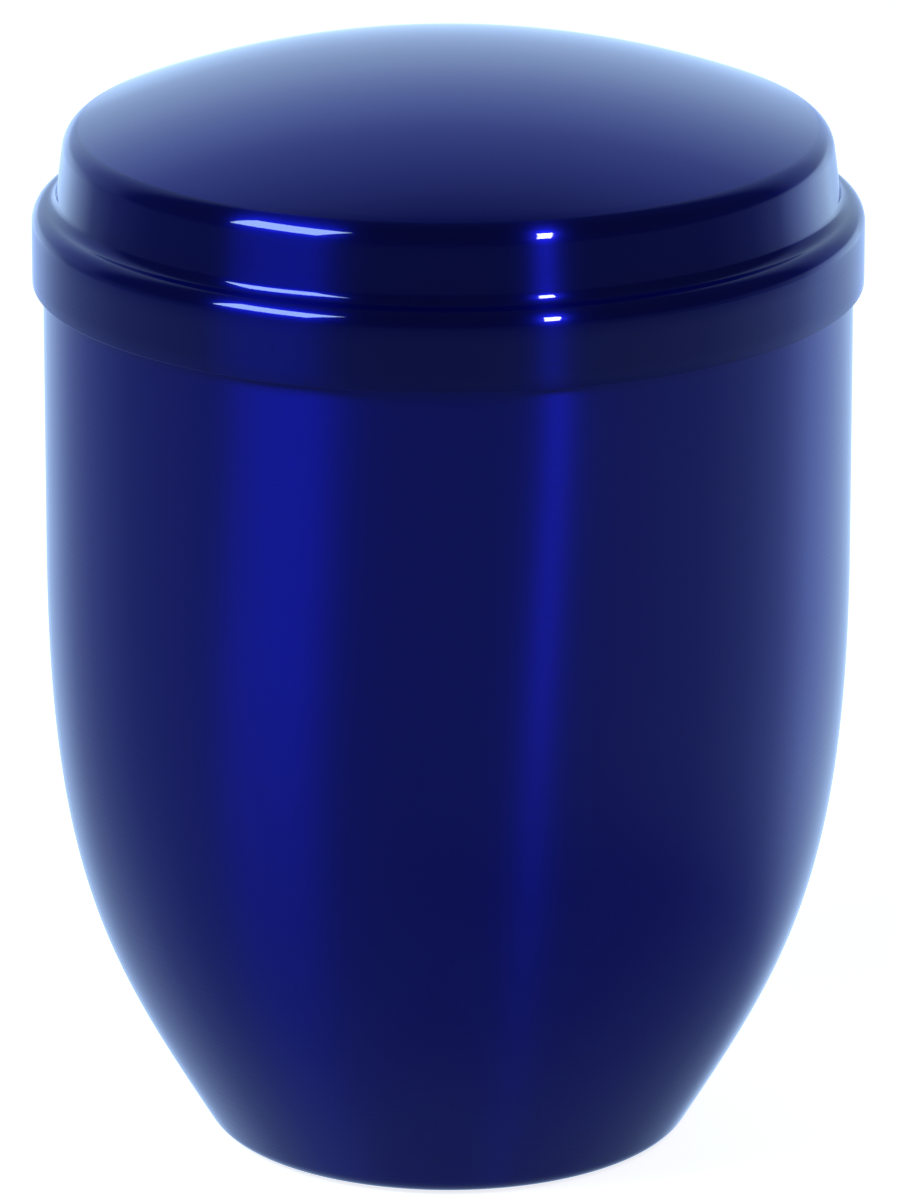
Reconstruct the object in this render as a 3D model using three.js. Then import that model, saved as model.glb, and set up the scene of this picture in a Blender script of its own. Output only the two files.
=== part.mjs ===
// Funeral urn of lacquered sheet metal: a deep drawn body and a loose domed lid.
// Millimetres, +Z up. The origin is the middle of the flat underside, where the urn stands.
import * as THREE from "three";

// Both pieces
const SHEET = 1; // thickness of the metal
const ROUND_STEPS = 64; // facets around the axis
const ARC_STEPS = 3; // facets along a small rounding

// Body, measured on its outside
const BODY_RADIUS = 102.3; // straight upper wall
const STRAIGHT_FROM = 155.3; // height where the wall becomes straight
const FOOT_RADIUS = 54.7; // flat underside
const FOOT_ROUNDING = 9; // edge of the underside
const FOOT_LEAN = 31.2; // degrees that the wall leans outwards just above the foot
const LOWER_PULL = 50.7; // how far the wall keeps its lean on the way up
const UPPER_PULL = 84.7; // how far the wall keeps upright on the way down
const FOOT_STEPS = 5;
const WALL_STEPS = 11;

// Lid, measured on its outside
const LID_RADIUS = 105; // skirt that hangs over the body
const SKIRT_EDGE = 225.3; // height of the skirt's lower edge
const SKIRT_TOP = 240.9; // height where the skirt starts to round over into the ledge
const SKIRT_ROUNDING = 4.6;
const LEDGE_SLOPE = 12; // degrees that the narrow ledge falls outwards between its two roundings
const NECK_ROUNDING = 3.4; // hollow rounding between the ledge and the neck
const NECK_DRAFT = 7.5; // degrees that the neck widens towards its foot
const SHOULDER_ROUNDING = 6.5; // edge of the dome
const DOME_RADIUS = 245;
const LID_TOP = 283.3;
const DOME_STEPS = 8;

// The rim stays this far under the rounding that it carries, a film of lacquer away.
const SEAT_GAP = 0.2;

const LACQUER_BLUE = 0x141a66;

function point(radius, height) {
  return new THREE.Vector2(radius, height);
}

// A point at a distance from another, at an angle in degrees from the outward direction
function offset(from, distance, angle) {
  const turned = THREE.MathUtils.degToRad(angle);
  return point(from.x + distance * Math.cos(turned), from.y + distance * Math.sin(turned));
}

// Points along a round stretch of a profile. Angles are in degrees from the outward direction.
function arc(centre, radius, fromAngle, toAngle, steps) {
  return Array.from({ length: steps + 1 }, (_, step) =>
    offset(centre, radius, fromAngle + ((toAngle - fromAngle) * step) / steps),
  );
}

// Lid: the centres of its roundings, from the skirt up to the dome
const ledgeAngle = 90 - LEDGE_SLOPE;
const skirtCentre = point(LID_RADIUS - SKIRT_ROUNDING, SKIRT_TOP);
const hollowCentre = offset(skirtCentre, SKIRT_ROUNDING + NECK_ROUNDING, ledgeAngle);

// The shoulder's centre lies on a line beside the neck, where the rounding also touches the dome.
const domeCentre = point(0, LID_TOP - DOME_RADIUS);
const besideNeck = offset(hollowCentre, NECK_ROUNDING + SHOULDER_ROUNDING, 180 + NECK_DRAFT);
const alongNeck = offset(point(0, 0), 1, 90 + NECK_DRAFT);
const fromDome = besideNeck.clone().sub(domeCentre);
const riseOnLine = fromDome.dot(alongNeck);
const dropToDome = (DOME_RADIUS - SHOULDER_ROUNDING) ** 2 - fromDome.lengthSq();
const neckLength = Math.sqrt(riseOnLine ** 2 + dropToDome) - riseOnLine;
const shoulderCentre = besideNeck.clone().addScaledVector(alongNeck, neckLength);
const domeEdge = shoulderCentre.clone().sub(domeCentre);
const domeEdgeAngle = THREE.MathUtils.radToDeg(domeEdge.angle());

// One skin of the lid, a given depth inside the outer face, from the skirt's edge to the apex
function lidSkin(depth) {
  return [
    point(LID_RADIUS - depth, SKIRT_EDGE),
    ...arc(skirtCentre, SKIRT_ROUNDING - depth, 0, ledgeAngle, ARC_STEPS),
    ...arc(hollowCentre, NECK_ROUNDING + depth, 180 + ledgeAngle, 180 + NECK_DRAFT, ARC_STEPS).slice(1),
    ...arc(shoulderCentre, SHOULDER_ROUNDING - depth, NECK_DRAFT, domeEdgeAngle, ARC_STEPS),
    ...arc(domeCentre, DOME_RADIUS - depth, domeEdgeAngle, 90, DOME_STEPS).slice(1, -1),
    point(0, LID_TOP - depth),
  ];
}

// Body: the rim reaches up into the lid until the rounding under the ledge rests on it
const seatHeight = Math.sqrt((SKIRT_ROUNDING - SHEET) ** 2 - (BODY_RADIUS - skirtCentre.x) ** 2);
const rimHeight = skirtCentre.y + seatHeight - SEAT_GAP;
const footLean = THREE.MathUtils.degToRad(FOOT_LEAN);
const footCentre = point(FOOT_RADIUS, FOOT_ROUNDING);
const wallStart = point(
  footCentre.x + FOOT_ROUNDING * Math.cos(footLean),
  footCentre.y - FOOT_ROUNDING * Math.sin(footLean),
);
const wall = new THREE.CubicBezierCurve(
  wallStart,
  point(wallStart.x + LOWER_PULL * Math.sin(footLean), wallStart.y + LOWER_PULL * Math.cos(footLean)),
  point(BODY_RADIUS, STRAIGHT_FROM - UPPER_PULL),
  point(BODY_RADIUS, STRAIGHT_FROM),
);

// A point on the curved wall, a given depth inside its outer face
function wallPoint(step, depth) {
  const along = step / WALL_STEPS;
  const onFace = wall.getPoint(along);
  const upwards = wall.getTangent(along);
  return point(onFace.x - depth * upwards.y, onFace.y + depth * upwards.x);
}

// One skin of the body, a given depth inside the outer face, from the middle of the foot to the rim
function bodySkin(depth) {
  return [
    point(0, depth),
    ...arc(footCentre, FOOT_ROUNDING - depth, -90, -FOOT_LEAN, FOOT_STEPS),
    ...Array.from({ length: WALL_STEPS }, (_, step) => wallPoint(step + 1, depth)),
    point(BODY_RADIUS - depth, rimHeight),
  ];
}

// A closed piece turned about the upright axis from a profile that starts and ends on it
function turnedPiece(name, profile, material) {
  const geometry = new THREE.LatheGeometry(profile, ROUND_STEPS);
  geometry.rotateX(Math.PI / 2);
  const piece = new THREE.Mesh(geometry, material);
  piece.name = name;
  return piece;
}

function lacquer() {
  return new THREE.MeshStandardMaterial({ color: LACQUER_BLUE, roughness: 0.22, metalness: 0.7 });
}

const urn = new THREE.Group();
urn.add(turnedPiece("urn_body", [...bodySkin(0), ...bodySkin(SHEET).reverse()], lacquer()));
urn.add(turnedPiece("urn_lid", [...lidSkin(SHEET).reverse(), ...lidSkin(0)], lacquer()));

export default urn;
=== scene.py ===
# %% [markdown]
# # A funeral urn in dark blue lacquer
# The urn has two pieces of thin sheet metal: a body that was drawn deep out of one disc, and a loose
# lid that was pressed out of another. Both wear a clear blue lacquer. The frame that is loaded here holds
# the same two pieces as faceted solids at their real size. They could be smoothed, but a faceted wall keeps
# its flats in every reflection, so both are drawn anew, and take their widths and heights from the frame.

# %% Load the frame
import math
import bpy
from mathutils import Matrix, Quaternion, Vector


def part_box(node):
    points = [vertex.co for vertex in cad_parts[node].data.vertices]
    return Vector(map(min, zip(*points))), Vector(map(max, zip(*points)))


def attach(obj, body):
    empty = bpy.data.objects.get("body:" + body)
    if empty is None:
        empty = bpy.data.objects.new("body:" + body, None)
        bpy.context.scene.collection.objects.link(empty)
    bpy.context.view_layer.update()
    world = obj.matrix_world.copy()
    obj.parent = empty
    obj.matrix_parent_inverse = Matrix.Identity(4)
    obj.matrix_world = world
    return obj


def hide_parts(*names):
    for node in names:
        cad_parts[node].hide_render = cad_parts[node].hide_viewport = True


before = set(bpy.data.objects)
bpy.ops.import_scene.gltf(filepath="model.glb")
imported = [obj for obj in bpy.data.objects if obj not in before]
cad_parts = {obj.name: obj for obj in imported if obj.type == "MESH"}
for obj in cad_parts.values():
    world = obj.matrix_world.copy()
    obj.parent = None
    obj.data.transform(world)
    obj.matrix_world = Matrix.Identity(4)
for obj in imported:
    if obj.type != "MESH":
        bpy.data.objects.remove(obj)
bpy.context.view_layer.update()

MM = 0.001
print("pieces in the frame:", ", ".join(sorted(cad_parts)))

# %% [markdown]
# ## The sizes
# The widest and the highest points could be typed in, but they are read from the frame, so the smooth pieces
# can't drift away from the solids. Lengths of the urn are in millimetres here, as a maker would write them,
# and become metres where Blender needs them.

# %% Sizes that the frame gives
body_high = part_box("urn_body")[1]
lid_low, lid_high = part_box("urn_lid")
BODY_RADIUS = body_high.x / MM
RIM = body_high.z / MM
LID_RADIUS = lid_high.x / MM
SKIRT_EDGE = lid_low.z / MM
LID_TOP = lid_high.z / MM
print(f"body {2 * BODY_RADIUS:.1f} mm wide, lid {2 * LID_RADIUS:.1f} mm wide, {LID_TOP:.1f} mm tall")

# %% [markdown]
# ## Drawing a profile by hand
# A turned piece is fully described by half of its outline. By hand it is drawn from one vertex that is
# extruded from point to point, and then spun around the upright axis. Spin leaves a seam and a bundle of
# vertices at the pole, so doubles are merged before the normals are recalculated. The wall is thickened
# afterwards, inwards, because the outline was measured on the outside.

# %% Helpers that draw and spin a profile
SHEET = 1.0  # thickness of the metal
SPIN_STEPS = 192
MERGE_DISTANCE = 0.002
INWARDS = -1.0
EDGE_ROUNDING = 0.25
EDGE_STEPS = 3
SHARP = math.radians(60)  # only edges that turn by more than this are rounded


def offset(start, distance, angle):
    """The point at a distance and an angle from another one, both as (radius, height)."""
    return (start[0] + distance * math.cos(angle), start[1] + distance * math.sin(angle))


def arc(centre, radius, start, end, steps):
    """Points along a round stretch of an outline, between two angles from the outward direction."""
    return [offset(centre, radius, start + (end - start) * step / steps) for step in range(steps + 1)]


def draw_profile(name, outline):
    """Starts with a plane that is merged to one vertex, and extrudes it along the outline."""
    bpy.ops.object.select_all(action="DESELECT")
    bpy.ops.mesh.primitive_plane_add(size=MM, location=(0, 0, 0))
    piece = bpy.context.object
    piece.name = name
    piece.data.name = name
    bpy.ops.object.mode_set(mode="EDIT")
    bpy.ops.mesh.select_mode(type="VERT")
    bpy.ops.mesh.select_all(action="SELECT")
    bpy.ops.mesh.merge(type="CENTER")
    points = [Vector((radius * MM, 0, height * MM)) for radius, height in outline]
    bpy.ops.transform.translate(value=points[0])
    for here, there in zip(points, points[1:]):
        bpy.ops.mesh.extrude_region_move(TRANSFORM_OT_translate={"value": there - here})
    return piece


def spin_profile():
    """Spins the profile that was just drawn around the upright axis and closes its seam and its pole."""
    bpy.ops.mesh.select_all(action="SELECT")
    bpy.ops.mesh.spin(steps=SPIN_STEPS, angle=2 * math.pi, center=(0, 0, 0), axis=(0, 0, 1))
    bpy.ops.mesh.select_all(action="SELECT")
    bpy.ops.mesh.remove_doubles(threshold=MERGE_DISTANCE * MM)
    bpy.ops.mesh.normals_make_consistent(inside=False)
    bpy.ops.object.mode_set(mode="OBJECT")


def give_thickness(piece):
    """Thickens the skin inwards to the sheet's gauge and breaks the sharp cut edge."""
    wall = piece.modifiers.new("sheet", "SOLIDIFY")
    wall.thickness = SHEET * MM
    wall.offset = INWARDS
    wall.use_even_offset = True
    bpy.ops.object.modifier_apply(modifier=wall.name)
    edge = piece.modifiers.new("cut edge", "BEVEL")
    edge.width = EDGE_ROUNDING * MM
    edge.segments = EDGE_STEPS
    edge.limit_method = "ANGLE"
    edge.angle_limit = SHARP
    bpy.ops.object.modifier_apply(modifier=edge.name)
    bpy.ops.object.shade_smooth()
    print(piece.name, "has", sum(len(face.vertices) - 2 for face in piece.data.polygons), "triangles")


print("profiles will be spun in", SPIN_STEPS, "steps")

# %% [markdown]
# ## The body
# On the real urn the body is a cup: a flat foot, a rounded edge, a wall that leans out and slowly turns
# upright, and a straight upper part that runs up into the lid. It could be lofted from circles, but a spun
# profile keeps the slow curve of the wall perfectly even, and a glossy wall shows every wobble.

# %% Profile of the body
STRAIGHT_FROM = 155.3  # height where the wall becomes straight
FOOT_RADIUS = 54.7  # flat underside
FOOT_ROUNDING = 9.0  # edge of the underside
FOOT_LEAN = math.radians(31.2)  # how far the wall leans outwards just above the foot
LOWER_PULL = 50.7  # how far the wall keeps its lean on the way up
UPPER_PULL = 84.7  # how far the wall keeps upright on the way down
UNDERSIDE_STEPS = 3
FOOT_STEPS = 10
WALL_STEPS = 56
STRAIGHT_STEPS = 6


def bezier(start, lower, upper, end, along):
    """A point on a cubic curve between two ends, pulled towards two handles."""
    left = 1 - along
    weights = (left ** 3, 3 * left * left * along, 3 * left * along * along, along ** 3)
    points = (start, lower, upper, end)
    return tuple(sum(weight * point[axis] for weight, point in zip(weights, points)) for axis in (0, 1))


def body_outline():
    """Half of the body's outer face, from the middle of the foot to the rim."""
    foot_edge = arc((FOOT_RADIUS, FOOT_ROUNDING), FOOT_ROUNDING, -math.pi / 2, -FOOT_LEAN, FOOT_STEPS)
    start = foot_edge[-1]
    lower = (start[0] + LOWER_PULL * math.sin(FOOT_LEAN), start[1] + LOWER_PULL * math.cos(FOOT_LEAN))
    upper = (BODY_RADIUS, STRAIGHT_FROM - UPPER_PULL)
    end = (BODY_RADIUS, STRAIGHT_FROM)
    wall = [bezier(start, lower, upper, end, step / WALL_STEPS) for step in range(1, WALL_STEPS + 1)]
    rise = (RIM - STRAIGHT_FROM) / STRAIGHT_STEPS
    straight = [(BODY_RADIUS, STRAIGHT_FROM + rise * step) for step in range(1, STRAIGHT_STEPS + 1)]
    underside = [(FOOT_RADIUS * step / UNDERSIDE_STEPS, 0.0) for step in range(UNDERSIDE_STEPS)]
    return underside + foot_edge + wall + straight


body = draw_profile("lacquered_body", body_outline())
spin_profile()
give_thickness(body)

# %% [markdown]
# ## The lid
# The lid is one pressing: a low dome, a rounded shoulder, a short neck that widens a little so that it
# leaves the press, a narrow ledge between two roundings, and a skirt that hangs over the body. The centres of
# its roundings could be tried out until they meet, but each follows from the one below it. Only the shoulder
# has to touch both the neck and the dome, so its centre slides up beside the neck until it does.

# %% Centres of the lid's roundings
SKIRT_TOP = 240.9  # height where the skirt starts to round over into the ledge
SKIRT_ROUNDING = 4.6
LEDGE_SLOPE = math.radians(12.0)  # how steeply the ledge falls outwards between its two roundings
NECK_ROUNDING = 3.4  # hollow rounding between the ledge and the neck
NECK_DRAFT = math.radians(7.5)  # how far the neck widens towards its foot
SHOULDER_ROUNDING = 6.5  # edge of the dome
DOME_RADIUS = 245.0


def shoulder_place(hollow, dome):
    """Slides the shoulder's centre up beside the neck until its rounding also touches the dome."""
    beside = offset(hollow, NECK_ROUNDING + SHOULDER_ROUNDING, math.pi + NECK_DRAFT)
    aside = beside[0] - dome[0]
    above = beside[1] - dome[1]
    on_line = above * math.cos(NECK_DRAFT) - aside * math.sin(NECK_DRAFT)
    reach = (DOME_RADIUS - SHOULDER_ROUNDING) ** 2 - aside ** 2 - above ** 2
    return offset(beside, math.sqrt(on_line ** 2 + reach) - on_line, math.pi / 2 + NECK_DRAFT)


ledge_angle = math.pi / 2 - LEDGE_SLOPE
skirt_centre = (LID_RADIUS - SKIRT_ROUNDING, SKIRT_TOP)
hollow_centre = offset(skirt_centre, SKIRT_ROUNDING + NECK_ROUNDING, ledge_angle)
dome_centre = (0.0, LID_TOP - DOME_RADIUS)
shoulder_centre = shoulder_place(hollow_centre, dome_centre)
dome_edge = math.atan2(shoulder_centre[1] - dome_centre[1], shoulder_centre[0])
print("the shoulder turns about", [round(value, 1) for value in shoulder_centre], "mm")

# %% [markdown]
# The lid could be put together from rings and a cap, but in one outline each rounding runs smoothly into the
# next, as pressed sheet does. The roundings carry all of the white reflections, so they get many short steps.

# %% Profile of the lid
DOME_STEPS = 30
ROUNDING_STEPS = 14
NECK_STEPS = 3
SKIRT_STEPS = 4


def stretch(start, end, steps):
    """The points between two ends of a straight stretch, without the ends."""
    return [tuple(a + (b - a) * step / steps for a, b in zip(start, end)) for step in range(1, steps)]


def lid_outline():
    """Half of the lid's outer face, from the skirt's edge up to the top of the dome."""
    skirt = arc(skirt_centre, SKIRT_ROUNDING, 0, ledge_angle, ROUNDING_STEPS)
    hollow = arc(hollow_centre, NECK_ROUNDING, math.pi + ledge_angle, math.pi + NECK_DRAFT, ROUNDING_STEPS)
    shoulder = arc(shoulder_centre, SHOULDER_ROUNDING, NECK_DRAFT, dome_edge, ROUNDING_STEPS)
    dome = arc(dome_centre, DOME_RADIUS, dome_edge, math.pi / 2, DOME_STEPS)
    edge = (LID_RADIUS, SKIRT_EDGE)
    upwards = [edge] + stretch(edge, skirt[0], SKIRT_STEPS) + skirt + hollow[1:]
    upwards += stretch(hollow[-1], shoulder[0], NECK_STEPS) + shoulder + dome[1:-1]
    return upwards + [(0.0, LID_TOP)]


lid = draw_profile("lacquered_lid", list(reversed(lid_outline())))
spin_profile()
give_thickness(lid)

# %% [markdown]
# ## The blue lacquer
# The lacquer is clear and deep blue, over metal that still shows the fine rings left by spinning. Its blue
# is painted darker lower down on each piece, deepest towards the foot, which is painted shade. It also has
# faint upright runs and a few small dark marks where it gathered. A painted picture could give all this too,
# but nodes on the object's own coordinates stay sharp close up and need no seam. By hand each node is added
# and wired in the shader editor. These helpers do the few steps that come again and again.

# %% Helpers that add and wire nodes


def link(tree, source, output, target, socket):
    """Draws one wire between two nodes."""
    tree.links.new(source.outputs[output], target.inputs[socket])


def mottle(tree, place, cells, detail):
    """Noise with its own number of cells per metre along each axis."""
    drawn_out = tree.nodes.new("ShaderNodeMapping")
    drawn_out.inputs["Scale"].default_value = cells
    link(tree, place, "Object", drawn_out, "Vector")
    noise = tree.nodes.new("ShaderNodeTexNoise")
    noise.inputs["Scale"].default_value = 1.0
    noise.inputs["Detail"].default_value = detail
    link(tree, drawn_out, "Vector", noise, "Vector")
    return noise


def ranged(tree, source, output, limits, results):
    """Turns one range of values into another."""
    made = tree.nodes.new("ShaderNodeMapRange")
    for socket, value in zip(("From Min", "From Max", "To Min", "To Max"), (*limits, *results)):
        made.inputs[socket].default_value = value
    link(tree, source, output, made, "Value")
    return made


def added(tree, source, output, strength, base):
    """Adds a share of one value to another."""
    made = tree.nodes.new("ShaderNodeMath")
    made.operation = "MULTIPLY_ADD"
    made.inputs[1].default_value = strength
    link(tree, source, output, made, 0)
    link(tree, base, 0, made, 2)
    return made


print("node helpers:", ", ".join(helper.__name__ for helper in (link, mottle, ranged, added)))

# %% [markdown]
# The lacquer is a blue metal under a clear coat. The coat is its smooth surface, and gives the small white
# reflections and the pale rims. The metal below gives the blue. Seen along the wall, light goes a long way
# through the lacquer and comes back as a faint blue haze, and a little sheen stands for that. A mix of a
# glossy and a rough shader could do the same, but one shader keeps the light in balance. What is even all
# over is set on the shader itself, and only the painted shade lower down, the runs and the marks come from
# nodes.

# %% Make the lacquer
COAT_ROUGHNESS = 0.03
COAT_IOR = 1.5
HAZE_ROUGHNESS = 0.4
HAZE_TINT = (0.0, 0.03, 1.0, 1.0)
RUN_CELLS = (60.0, 60.0, 9.0)
RUN_DETAIL = 4.0
RUN_STRENGTH = 0.16
MARK_CELLS = (420.0, 420.0, 130.0)
MARK_DETAIL = 1.0
MARK_FROM = 0.66
MARK_TO = 0.76
MARK_STRENGTH = -0.16
DEEP_AT = 0.25  # place of the deep tone between the darkest and the brightest
DARKEST = 0.5  # share of the deep tone that is left in a mark
POLISH_SPREAD = 0.008


def blue_lacquer(name, metal, scatter, haze, deep, bright, shaded_at, unshaded_at):
    """Clear blue over bright metal, with painted shade that makes it deep at one height and bright at
    another, and with runs and marks.
    """
    material = bpy.data.materials.new(name)
    material.use_nodes = True
    tree = material.node_tree
    shader = tree.nodes["Principled BSDF"]
    shader.inputs["Metallic"].default_value = metal
    shader.inputs["Specular Tint"].default_value = (*deep, 1.0)
    shader.inputs["Coat Weight"].default_value = 1.0
    shader.inputs["Coat Roughness"].default_value = COAT_ROUGHNESS
    shader.inputs["Coat IOR"].default_value = COAT_IOR
    shader.inputs["Sheen Weight"].default_value = haze
    shader.inputs["Sheen Roughness"].default_value = HAZE_ROUGHNESS
    shader.inputs["Sheen Tint"].default_value = HAZE_TINT

    place = tree.nodes.new("ShaderNodeTexCoord")
    parts = tree.nodes.new("ShaderNodeSeparateXYZ")
    link(tree, place, "Object", parts, "Vector")
    runs = mottle(tree, place, RUN_CELLS, RUN_DETAIL)
    spots = mottle(tree, place, MARK_CELLS, MARK_DETAIL)
    marks = ranged(tree, spots, "Fac", (MARK_FROM, MARK_TO), (0.0, 1.0))
    # painted shade: the blue is darker lower down on the piece
    height = ranged(tree, parts, "Z", (shaded_at * MM, unshaded_at * MM), (DEEP_AT, 1.0))
    with_runs = added(tree, runs, "Fac", RUN_STRENGTH, height)
    with_marks = added(tree, marks, "Result", MARK_STRENGTH, with_runs)
    # the tone of the lacquer, made of the painted shade lower down, the runs and the marks
    shade_runs_and_marks = tree.nodes.new("ShaderNodeValToRGB")
    darkest, brightest = shade_runs_and_marks.color_ramp.elements
    darkest.color = (*(DARKEST * value for value in deep), 1.0)
    brightest.color = (*bright, 1.0)
    shade_runs_and_marks.color_ramp.elements.new(DEEP_AT + RUN_STRENGTH / 2).color = (*deep, 1.0)
    link(tree, with_marks, "Value", shade_runs_and_marks, "Fac")
    link(tree, shade_runs_and_marks, "Color", shader, "Base Color")
    polish = ranged(tree, runs, "Fac", (0.0, 1.0), (scatter - POLISH_SPREAD, scatter + POLISH_SPREAD))
    link(tree, polish, "Result", shader, "Roughness")
    return material


run_width = 1 / RUN_CELLS[0] / MM
mark_width = 1 / MARK_CELLS[0] / MM
print(f"a run in the lacquer is about {run_width:.0f} mm wide, a mark {mark_width:.1f} mm")

# %% [markdown]
# The rings were left by a tool that was pressed on the spinning wall. They scatter light up and down but
# hardly sideways, so a lamp above becomes a tall blue column on the wall. They are too fine to model one by
# one, so a stretched highlight stands for most of them and a very shallow bump for the coarsest. The tool
# travelled upwards as it pressed, so the rings aren't quite level: they tilt one way low on the wall and the
# other way near the rim, and the narrow column of light leans with them.

# %% Lay the rings below the lacquer
RING_CELLS = (25.0, 25.0, 1400.0)
RING_DETAIL = 3.0
RING_DEPTH = 0.045
RING_STRETCH = 1.0
UPRIGHT = 0.25  # a quarter turn, from along the rings to across them
TILT_FROM = 110.0
TILT_TO = 235.0
TILT_LOW = -0.045


def over_rings(material, tilt_high):
    """Rings in the metal that scatter light up and down, with one tilt low down and another high up."""
    tree = material.node_tree
    shader = tree.nodes["Principled BSDF"]
    shader.inputs["Anisotropic"].default_value = RING_STRETCH
    shader.inputs["Anisotropic Rotation"].default_value = UPRIGHT
    place = tree.nodes.new("ShaderNodeTexCoord")
    rings = mottle(tree, place, RING_CELLS, RING_DETAIL)
    relief = tree.nodes.new("ShaderNodeBump")
    relief.inputs["Distance"].default_value = RING_DEPTH * MM
    link(tree, rings, "Fac", relief, "Height")
    link(tree, relief, "Normal", shader, "Normal")

    level = tree.nodes.new("ShaderNodeTangent")
    level.direction_type = "RADIAL"
    level.axis = "Z"
    parts = tree.nodes.new("ShaderNodeSeparateXYZ")
    link(tree, place, "Object", parts, "Vector")
    climb = ranged(tree, parts, "Z", (TILT_FROM * MM, TILT_TO * MM), (TILT_LOW, tilt_high))
    climb.interpolation_type = "SMOOTHSTEP"
    upward = tree.nodes.new("ShaderNodeCombineXYZ")
    link(tree, climb, "Result", upward, "Z")
    tilted = tree.nodes.new("ShaderNodeVectorMath")
    link(tree, level, "Tangent", tilted, 0)
    link(tree, upward, "Vector", tilted, 1)
    link(tree, tilted, "Vector", shader, "Tangent")


ring_width = 1 / RING_CELLS[2] / MM
print(f"the coarsest rings are about {ring_width:.1f} mm wide and {RING_DEPTH} mm deep")

# %% [markdown]
# The real urn wears the same lacquer all over, but it lies on metal that was worked in different ways: the
# body was drawn and spun, the walls of the lid were pressed and then spun, and the dome was pressed against a
# polished die, so it is smooth all ways and has no rings. One material with painted masks could hold all
# three, but three mixes of one recipe are easier to set one at a time.

# %% Mix the three lacquers
LID_METAL = 0.93
# each lacquer is painted darker lower down on its piece, as painted shade
body_lacquer = blue_lacquer(
    "body lacquer", metal=0.88, scatter=0.32, haze=0.12,
    deep=(0.002, 0.003, 0.22), bright=(0.003, 0.004, 0.30), shaded_at=0.0, unshaded_at=170.0,
)
wall_lacquer = blue_lacquer(
    "lid wall lacquer", metal=LID_METAL, scatter=0.28, haze=0.35,
    deep=(0.002, 0.003, 0.18), bright=(0.003, 0.004, 0.19), shaded_at=SKIRT_EDGE, unshaded_at=LID_TOP,
)
dome_lacquer = blue_lacquer(
    "dome lacquer", metal=LID_METAL, scatter=0.24, haze=0.12,
    deep=(0.003, 0.004, 0.22), bright=(0.004, 0.005, 0.28), shaded_at=SKIRT_EDGE, unshaded_at=LID_TOP,
)
over_rings(body_lacquer, tilt_high=0.050)
over_rings(wall_lacquer, tilt_high=0.0)
body.data.materials.append(body_lacquer)
lid.data.materials.append(wall_lacquer)
lid.data.materials.append(dome_lacquer)
print("lacquers made:", ", ".join(made.name for made in (body_lacquer, wall_lacquer, dome_lacquer)))

# %% [markdown]
# The polished dome could be a third piece, but on the real lid it is the same sheet, so only its faces get
# another material. They are told apart high on the shoulder, where the reflections are darkest and no line
# shows.

# %% Give the dome its own polish
DOME_DEPTH = 18.3
dome_from = (LID_TOP - DOME_DEPTH) * MM
dome_slot = lid.data.materials.find(dome_lacquer.name)
dome_faces = [face for face in lid.data.polygons if face.center.z > dome_from]
for face in dome_faces:
    face.material_index = dome_slot
print(len(dome_faces), "of", len(lid.data.polygons), "faces of the lid belong to the dome")

# %% [markdown]
# ## Riding on the frame
# The urn has no moving part: the lid just rests on the rim and lifts off. So both pieces ride on the one
# body of the frame, and each stands for its faceted solid. A lid on a hinge would need a body of its own.

# %% Tie the pieces to the frame
for piece, node, finish in ((body, "urn_body", "body_lacquer"), (lid, "urn_lid", "lid_lacquer")):
    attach(piece, "root")
    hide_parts(node)
    print(piece.name, "stands for", node)

# %% [markdown]
# ## Floor and room
# A glossy dark thing looks like what stands around it. Here that is a pale studio with a white floor. The
# floor could be a sweep that curves up into a wall, but a wide plane that glows a little does the same for an
# urn that is seen from above. It is kept out of the reflections so that the room alone shapes them, and lies
# a hair below the foot so that the two faces don't fight for the same place.

# %% Floor
FLOOR_SIZE = 8.0  # metres
FLOOR_DROP = 0.1
FLOOR_PAINT = (0.82, 0.83, 0.85, 1.0)
FLOOR_ROUGHNESS = 0.9
GLOW_COLOUR = (1.0, 1.0, 1.0, 1.0)
FLOOR_GLOW = 0.82
bpy.ops.object.select_all(action="DESELECT")
bpy.ops.mesh.primitive_plane_add(size=FLOOR_SIZE, location=(0, 0, -FLOOR_DROP * MM))
floor = bpy.context.object
floor.name = "studio_floor"
floor.visible_glossy = False
floor_paint = bpy.data.materials.new("pale floor")
floor_paint.use_nodes = True
floor_shader = floor_paint.node_tree.nodes["Principled BSDF"]
floor_shader.inputs["Base Color"].default_value = FLOOR_PAINT
floor_shader.inputs["Roughness"].default_value = FLOOR_ROUGHNESS
floor_shader.inputs["Emission Color"].default_value = GLOW_COLOUR
floor_shader.inputs["Emission Strength"].default_value = FLOOR_GLOW
floor.data.materials.append(floor_paint)
print("floor", FLOOR_SIZE, "m wide")

# %% [markdown]
# The room is light behind the urn and fades to dark overhead and in front, where the camera stands. It could
# be built from walls and screens, but it is quicker to paint it once on the world by direction. One band of
# the room is a ramp of shades that runs from in front of the urn to behind it. Each shade below is a place,
# from -1 in front to 1 behind, and its brightness. A band can lean to one side, or be paler at both.

# %% Shades of one band of the room
COOL_WHITE = (0.70, 1.0, 1.38)
NEAR_FLOOR = ((-0.95, 0.12), (-0.48, 0.15), (0.0, 0.19), (0.33, 0.26), (0.58, 0.38), (0.98, 0.75))
BELOW_LEVEL = ((-0.95, 0.145), (0.0, 0.28), (0.33, 0.42), (0.52, 0.57), (0.73, 0.9), (0.98, 1.0))
LEVEL = (
    (-0.95, 0.085), (0.0, 0.095), (0.3, 0.16), (0.5, 0.35),
    (0.68, 1.05), (0.8, 1.58), (0.92, 1.74), (0.99, 1.08),
)
OVERHEAD = ((-0.95, 0.045), (0.44, 0.05), (0.5, 0.11), (0.6, 0.28), (0.76, 0.49), (0.95, 1.08))
RAMP_MIDDLE = 0.5  # where a new stop starts before it gets its place


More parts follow.
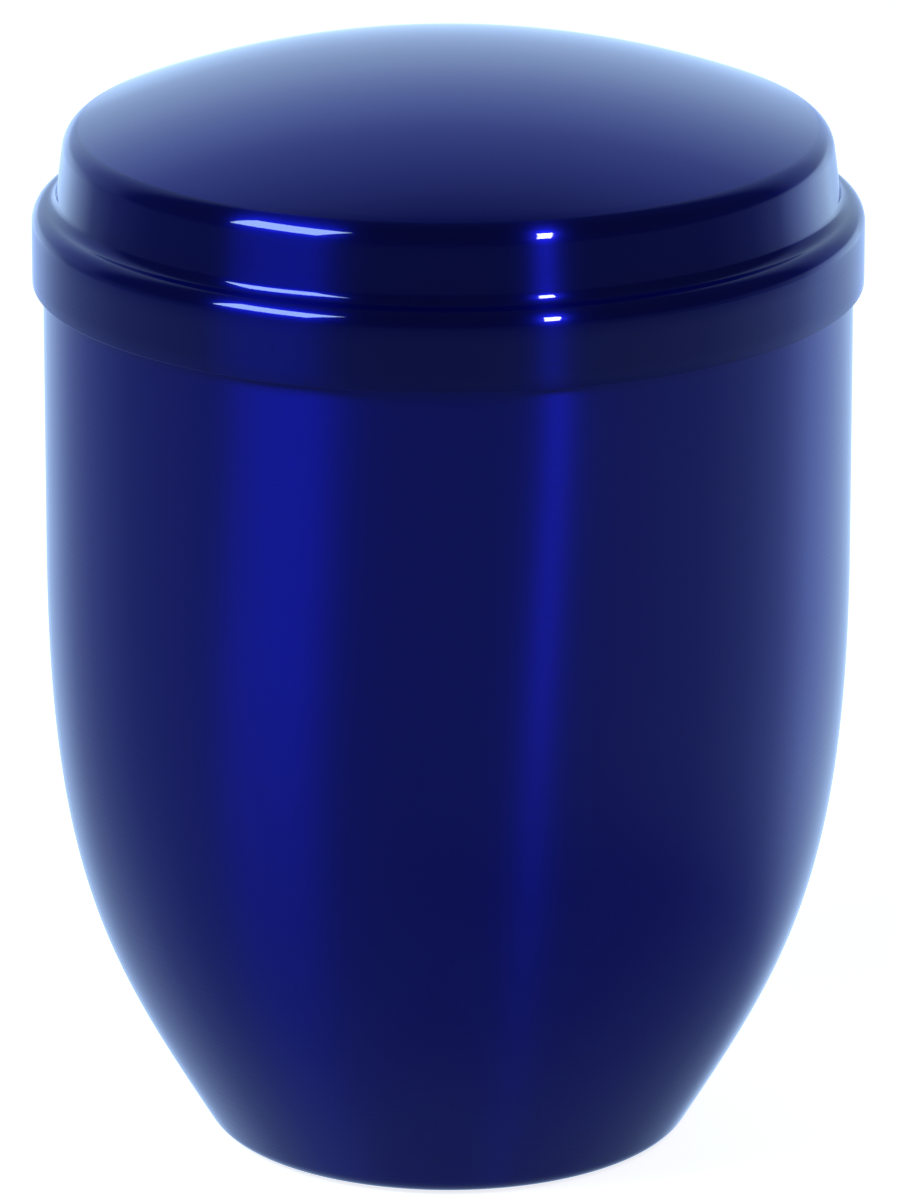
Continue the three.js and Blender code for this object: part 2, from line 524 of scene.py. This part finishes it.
def room_shades(tree, parts, lean, sides, steps):
    """A ramp of cool white, from in front of the urn to behind it."""
    aside = tree.nodes.new("ShaderNodeMath")
    aside.operation = "MULTIPLY_ADD"
    aside.inputs[1].default_value = sides
    aside.inputs[2].default_value = lean
    link(tree, parts, "X", aside, 0)
    leaning = tree.nodes.new("ShaderNodeMath")
    leaning.operation = "MULTIPLY_ADD"
    link(tree, parts, "X", leaning, 0)
    link(tree, aside, "Value", leaning, 1)
    link(tree, parts, "Y", leaning, 2)
    backward = ranged(tree, leaning, "Value", (-1.0, 1.0), (0.0, 1.0))
    shades = tree.nodes.new("ShaderNodeValToRGB")
    ramp = shades.color_ramp
    while len(ramp.elements) < len(steps):
        ramp.elements.new(RAMP_MIDDLE)
    for element, (toward_back, level) in zip(ramp.elements, steps):
        element.position = (toward_back + 1) / 2
        element.color = (*(tint * level for tint in COOL_WHITE), 1.0)
    link(tree, backward, "Result", shades, "Fac")
    return shades


brightest_shade = max(level for steps in (NEAR_FLOOR, BELOW_LEVEL, LEVEL, OVERHEAD) for _, level in steps)
print("brightest shade of the room:", brightest_shade)

# %% [markdown]
# The four bands lie one above the other: near the floor, below eye level, at eye level and overhead. The wall
# of the urn mirrors what is a little below level, its foot the floor, the sides of the lid what is level, and
# its roundings what is overhead. So each band is set from one part of the urn, and fades into the next.

# %% Paint the room
FLOOR_LEAN = -0.33
# Each band above the floor: the heights where it fades in, how far it leans to the right, how much paler
# its sides are, and its shades.
UPPER_BANDS = (
    (-0.58, -0.36, 0.24, 0.0, BELOW_LEVEL),
    (-0.29, -0.2, 0.13, 0.0, LEVEL),
    (-0.02, 0.12, -0.05, 0.12, OVERHEAD),
)


def room_light():
    """Paints the studio on the world, band over band from the floor up."""
    world = bpy.data.worlds.new("pale studio")
    bpy.context.scene.world = world
    world.use_nodes = True
    tree = world.node_tree
    where = tree.nodes.new("ShaderNodeTexCoord")
    parts = tree.nodes.new("ShaderNodeSeparateXYZ")
    link(tree, where, "Generated", parts, "Vector")
    painted = room_shades(tree, parts, FLOOR_LEAN, 0.0, NEAR_FLOOR)
    for fade_from, fade_to, lean, sides, steps in UPPER_BANDS:
        upward = ranged(tree, parts, "Z", (fade_from, fade_to), (0.0, 1.0))
        upward.interpolation_type = "SMOOTHSTEP"
        both = tree.nodes.new("ShaderNodeMixRGB")
        link(tree, upward, "Result", both, "Fac")
        link(tree, painted, "Color", both, "Color1")
        link(tree, room_shades(tree, parts, lean, sides, steps), "Color", both, "Color2")
        painted = both
    link(tree, painted, "Color", tree.nodes["Background"], "Color")


room_light()
print("room painted in", 1 + len(UPPER_BANDS), "bands")

# %% [markdown]
# ## Lamps
# Two lamps stand in front and above: a wide softbox on the left, and a narrow strip on the right. They
# could be painted on the world too, but lamps near the urn also give it a soft shadow. Their shapes are what
# the roundings of the lid mirror, so their angles are set from where those reflections sit.

# %% Softbox and strip
LAMP_AIM = Vector((0.0, -0.08, 0.25))


def lamp(name, azimuth, elevation, distance, width, height, radiance, tint, lean):
    """A rectangular lamp that is aimed at the lid, at angles from the camera's side and from level."""
    around = math.radians(azimuth)
    up = math.radians(elevation)
    away = Vector((math.sin(around) * math.cos(up), -math.cos(around) * math.cos(up), math.sin(up)))
    bpy.ops.object.light_add(type="AREA", location=LAMP_AIM + away * distance)
    made = bpy.context.object
    made.name = name
    made.data.shape = "RECTANGLE"
    made.data.size = width
    made.data.size_y = height
    made.data.energy = radiance * math.pi * width * height
    made.data.color = tint
    made.rotation_mode = "QUATERNION"
    turned = Quaternion((0.0, 0.0, 1.0), math.radians(lean))
    made.rotation_quaternion = (-away).to_track_quat("-Z", "Y") @ turned
    print(name, "at", [round(value, 2) for value in made.location])


lamp(
    "softbox", azimuth=-56.5, elevation=38.0, distance=1.6, width=0.80, height=0.68,
    radiance=12.3, tint=(0.6, 0.85, 0.95), lean=0.0,
)
lamp(
    "strip", azimuth=32.4, elevation=36.0, distance=1.2, width=0.085, height=0.46,
    radiance=33.0, tint=(0.92, 0.96, 1.0), lean=-12.0,
)

# %% [markdown]
# ## Camera
# The urn is seen with a long lens from a little above. A camera can be placed by eye until the outlines
# agree, but here its place, its tilt and its lens were worked out from the ellipses that the skirt and the
# foot make, because a small error in the tilt moves every reflection.

# %% Camera at the viewing angle
CAMERA_DISTANCE = 2.520
CAMERA_ELEVATION = math.radians(17.6)
CAMERA_TARGET = Vector((0.0003, 0.0, 0.13945))
FOCAL_PIXELS = 9873.0
IMAGE_HEIGHT = 1200
SENSOR = 36.0
away = Vector((0.0, -math.cos(CAMERA_ELEVATION), math.sin(CAMERA_ELEVATION)))
bpy.ops.object.camera_add(location=CAMERA_TARGET + away * CAMERA_DISTANCE)
camera = bpy.context.object
camera.rotation_mode = "QUATERNION"
camera.rotation_quaternion = (-away).to_track_quat("-Z", "Y")
camera.data.sensor_width = SENSOR
camera.data.lens = FOCAL_PIXELS / IMAGE_HEIGHT * SENSOR
bpy.context.scene.camera = camera
bpy.context.scene.view_settings.view_transform = "Standard"
print("lens", round(camera.data.lens, 1), "mm")
